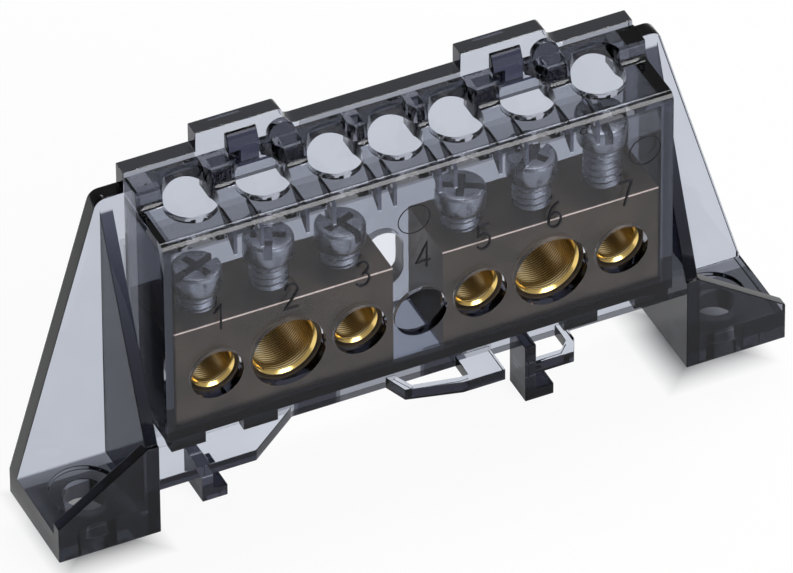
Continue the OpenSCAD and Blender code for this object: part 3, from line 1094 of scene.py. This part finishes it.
def ring_mesh(settings, name, x, z, diameter, wall):
    """The fine raised ring that an ejector pin leaves on the front wall."""
    form = bmesh.new()
    half = diameter / 2
    points = [(x + across, z + up) for across, up in arc((0.0, 0.0), (half, half), 0, 360, 40)]
    raise_stroke(form, points, settings.ring, settings.relief * 0.4, wall)
    return mesh_from(form, name)


# Operators


class BUSBAR_OT_holder(bpy.types.Operator):
    """Gives the holder its rounded moulded edges and its smoky plastic."""

    bl_idname = "busbar.holder"
    bl_label = "Holder"

    def execute(self, context):
        settings = context.scene.busbar.plastic
        finish = smoky_plastic(
            "smoky_holder",
            tint=settings.holder_tint,
            density=settings.holder_density,
            film=settings.holder_film,
            shadow=settings.holder_shadow,
            thick=settings.thick,
            roughness=0.015,
            zones=HOLDER_THICK_SHADE,
            top=HOLDER_TOP,
            glow=EDGE_LIGHT,
        )
        soften_edges(frame["nodes"]["base"], settings.edge, MOULDED_ANGLE)
        put_on(frame["nodes"]["base"], finish)
        return {"FINISHED"}


class BUSBAR_OT_cover(bpy.types.Operator):
    """Gives the cover its rounded moulded edges and its lighter smoky plastic."""

    bl_idname = "busbar.cover"
    bl_label = "Cover"

    def execute(self, context):
        settings = context.scene.busbar.plastic
        finish = smoky_plastic(
            "smoky_cover",
            tint=settings.cover_tint,
            density=settings.cover_density,
            film=settings.cover_film,
            shadow=settings.cover_shadow,
            thick=settings.thick,
            roughness=0.01,
            zones=COVER_THICK_SHADE,
            top=COVER_TOP,
        )
        soften_edges(frame["nodes"]["cover"], settings.edge, MOULDED_ANGLE)
        put_on(frame["nodes"]["cover"], finish)
        return {"FINISHED"}


class BUSBAR_OT_bars(bpy.types.Operator):
    """Breaks the edges of the brass bars and finishes their faces and bores."""

    bl_idname = "busbar.bars"
    bl_label = "Brass bars"

    def execute(self, context):
        settings = context.scene.busbar.brass
        finish = brass_finish(settings)
        for name in ("busbar_left", "busbar_right"):
            bar = frame["nodes"][name]
            soften_edges(bar, settings.edge, FILED_ANGLE)
            put_on(bar, finish)
        return {"FINISHED"}


class BUSBAR_OT_screws(bpy.types.Operator):
    """Puts threaded screws with carved heads in the place of the plain ones."""

    bl_idname = "busbar.screws"
    bl_label = "Clamping screws"

    def execute(self, context):
        settings = context.scene.busbar.screws
        finish = zinc_finish(settings)
        for place, turn in SCREW_TURNS.items():
            node = f"screw_{place}"
            mesh = screw_mesh(settings, place, turn)
            mesh.shade_smooth()
            piece = new_piece(f"clamp_{node}", mesh, node, finish)
            sharp = piece.modifiers.new("Sharp edges", "EDGE_SPLIT")
            sharp.split_angle = math.radians(HEAD_SHARP)
            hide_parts(node)
        return {"FINISHED"}


class BUSBAR_OT_digits(bpy.types.Operator):
    """Raises the digits 1 to 7 on the cover's front wall."""

    bl_idname = "busbar.digits"
    bl_label = "Digits"

    def execute(self, context):
        settings = context.scene.busbar.marks
        finish = mark_finish(settings)
        height = MOUNTS["wire_1"]["pos_m"][2] + settings.above_bore
        for number in range(1, 8):
            mount = MOUNTS.get(f"wire_{number}")
            x = (mount["pos_m"][0] if mount else 0.0) + settings.aside
            mesh = digit_mesh(settings, number, x, height, FRONT_WALL)
            new_piece(f"digit_{number}", mesh, HOLDER, finish)
        return {"FINISHED"}


class BUSBAR_OT_ejectors(bpy.types.Operator):
    """Draws the rings that the ejector pins leave on the cover's front wall."""

    bl_idname = "busbar.ejectors"
    bl_label = "Ejector marks"

    def execute(self, context):
        settings = context.scene.busbar.marks
        finish = mark_finish(settings)
        for number, (x, z, diameter) in enumerate(EJECTOR_MARKS, 1):
            name = f"ejector_mark_{number}"
            mesh = ring_mesh(settings, name, x, z, diameter, FRONT_WALL)
            new_piece(name, mesh, HOLDER, finish)
        return {"FINISHED"}


class BUSBAR_OT_stage(bpy.types.Operator):
    """Sets the floor, the soft light and the camera."""

    bl_idname = "busbar.stage"
    bl_label = "Studio"

    def execute(self, context):
        settings = context.scene.busbar.studio
        scene = context.scene
        self.add_floor(scene, settings)
        self.add_light(scene, settings)
        self.add_camera(scene, settings)
        scene.view_settings.view_transform = "Standard"
        return {"FINISHED"}

    def add_floor(self, scene, settings):
        """A wide pale floor that is white to the eye and keeps the shadow, with a painted shadow
        under the feet.
        """
        form = bmesh.new()
        bmesh.ops.create_grid(form, x_segments=1, y_segments=1, size=4.0)
        bmesh.ops.translate(form, verts=form.verts, vec=(0.0, 0.0, CAD_BOX[0].z - FLOOR_GAP))
        floor = bpy.data.objects.new("floor", mesh_from(form, "floor"))
        scene.collection.objects.link(floor)
        material, tree, end, place = new_material("pale_floor")
        grain = place_group(tree, "Surface grain", {"Place": place, "Size": 0.05})
        colour = blend(tree, grain["Cloud"], rgba(settings.floor, 0.985), rgba(settings.floor))
        path = tree.nodes.new("ShaderNodeLightPath").outputs
        white = 0.0
        for ray, share in FLOOR_WHITE.items():
            white = maths(tree, "MAXIMUM", maths(tree, "MULTIPLY", path[ray], share), white)
        # Painted shadow: under the feet the floor loses its white and is darkened towards
        # FOOT_SHADE
        under = inside(tree, place, UNDER_FEET, soft=0.004)
        white = maths(tree, "MULTIPLY", white, maths(tree, "SUBTRACT", 1.0, under))
        colour = blend(tree, maths(tree, "MULTIPLY", under, 0.5), colour, rgba(FOOT_SHADE))
        add_surface(
            tree,
            end,
            {
                "Base Color": blend(tree, white, colour, BLACK),
                "Roughness": 1.0,
                "Specular IOR Level": 0.0,
                "Emission Color": blend(tree, white, BLACK, WHITE),
                "Emission Strength": 1.0,
            },
        )
        material.cycles.emission_sampling = "NONE"
        floor.data.materials.append(material)

    def add_light(self, scene, settings):
        """A soft box above the front, a large one overhead, and the room's even light."""
        boxes = (
            ("front_soft_box", (0.32, -0.88, 0.62), (0.6, 1.0), settings.key_power),
            ("top_soft_box", (0.37, 0.41, 1.01), (0.9, 0.22), settings.top_power),
        )
        for name, spot, size, power in boxes:
            lamp = bpy.data.lights.new(name, "AREA")
            lamp.shape = "RECTANGLE"
            lamp.size, lamp.size_y = size
            lamp.energy = power
            box = bpy.data.objects.new(name, lamp)
            box.location = spot
            box.rotation_euler = (-Vector(spot)).to_track_quat("-Z", "Y").to_euler()
            box.visible_transmission = False
            scene.collection.objects.link(box)
        world = bpy.data.worlds.new("studio_room")
        world.use_nodes = True
        back = world.node_tree.nodes["Background"]
        back.inputs["Color"].default_value = WHITE
        back.inputs["Strength"].default_value = settings.sky
        scene.world = world

    def add_camera(self, scene, settings):
        """A long lens that sees the part from the left, in front and above."""
        lens = bpy.data.cameras.new("camera")
        lens.sensor_width = 36.0
        lens.lens = settings.lens
        lens.clip_start = 0.05
        lens.clip_end = 20.0
        camera = bpy.data.objects.new("camera", lens)
        camera.location = settings.eye
        camera.rotation_euler = Euler(settings.aim, "XYZ")
        scene.collection.objects.link(camera)
        scene.camera = camera


class BUSBAR_PT_looks(bpy.types.Panel):
    """Lists the operators and the settings in the sidebar."""

    bl_idname = "BUSBAR_PT_looks"
    bl_label = "Neutral Busbar"
    bl_space_type = "VIEW_3D"
    bl_region_type = "UI"
    bl_category = "Busbar"

    def draw(self, context):
        settings = context.scene.busbar
        groups = (
            (("busbar.holder", "busbar.cover"), settings.plastic),
            (("busbar.bars",), settings.brass),
            (("busbar.screws",), settings.screws),
            (("busbar.digits", "busbar.ejectors"), settings.marks),
            (("busbar.stage",), settings.studio),
        )
        for operators, group in groups:
            box = self.layout.box()
            for operator in operators:
                box.operator(operator)
            for key in group.bl_rna.properties.keys():
                if key not in ("rna_type", "name"):
                    box.prop(group, key)


CLASSES = (
    PlasticSettings,
    BrassSettings,
    ScrewSettings,
    MarkSettings,
    StudioSettings,
    BusbarSettings,
    BUSBAR_OT_holder,
    BUSBAR_OT_cover,
    BUSBAR_OT_bars,
    BUSBAR_OT_screws,
    BUSBAR_OT_digits,
    BUSBAR_OT_ejectors,
    BUSBAR_OT_stage,
    BUSBAR_PT_looks,
)


def register():
    for cls in CLASSES:
        bpy.utils.register_class(cls)
    bpy.types.Scene.busbar = PointerProperty(type=BusbarSettings)


def unregister():
    del bpy.types.Scene.busbar
    for cls in reversed(CLASSES):
        bpy.utils.unregister_class(cls)


def main():
    register()
    bpy.ops.busbar.stage()
    bpy.ops.busbar.holder()
    bpy.ops.busbar.cover()
    bpy.ops.busbar.bars()
    bpy.ops.busbar.screws()
    bpy.ops.busbar.digits()
    bpy.ops.busbar.ejectors()


if __name__ == "__main__":
    main()
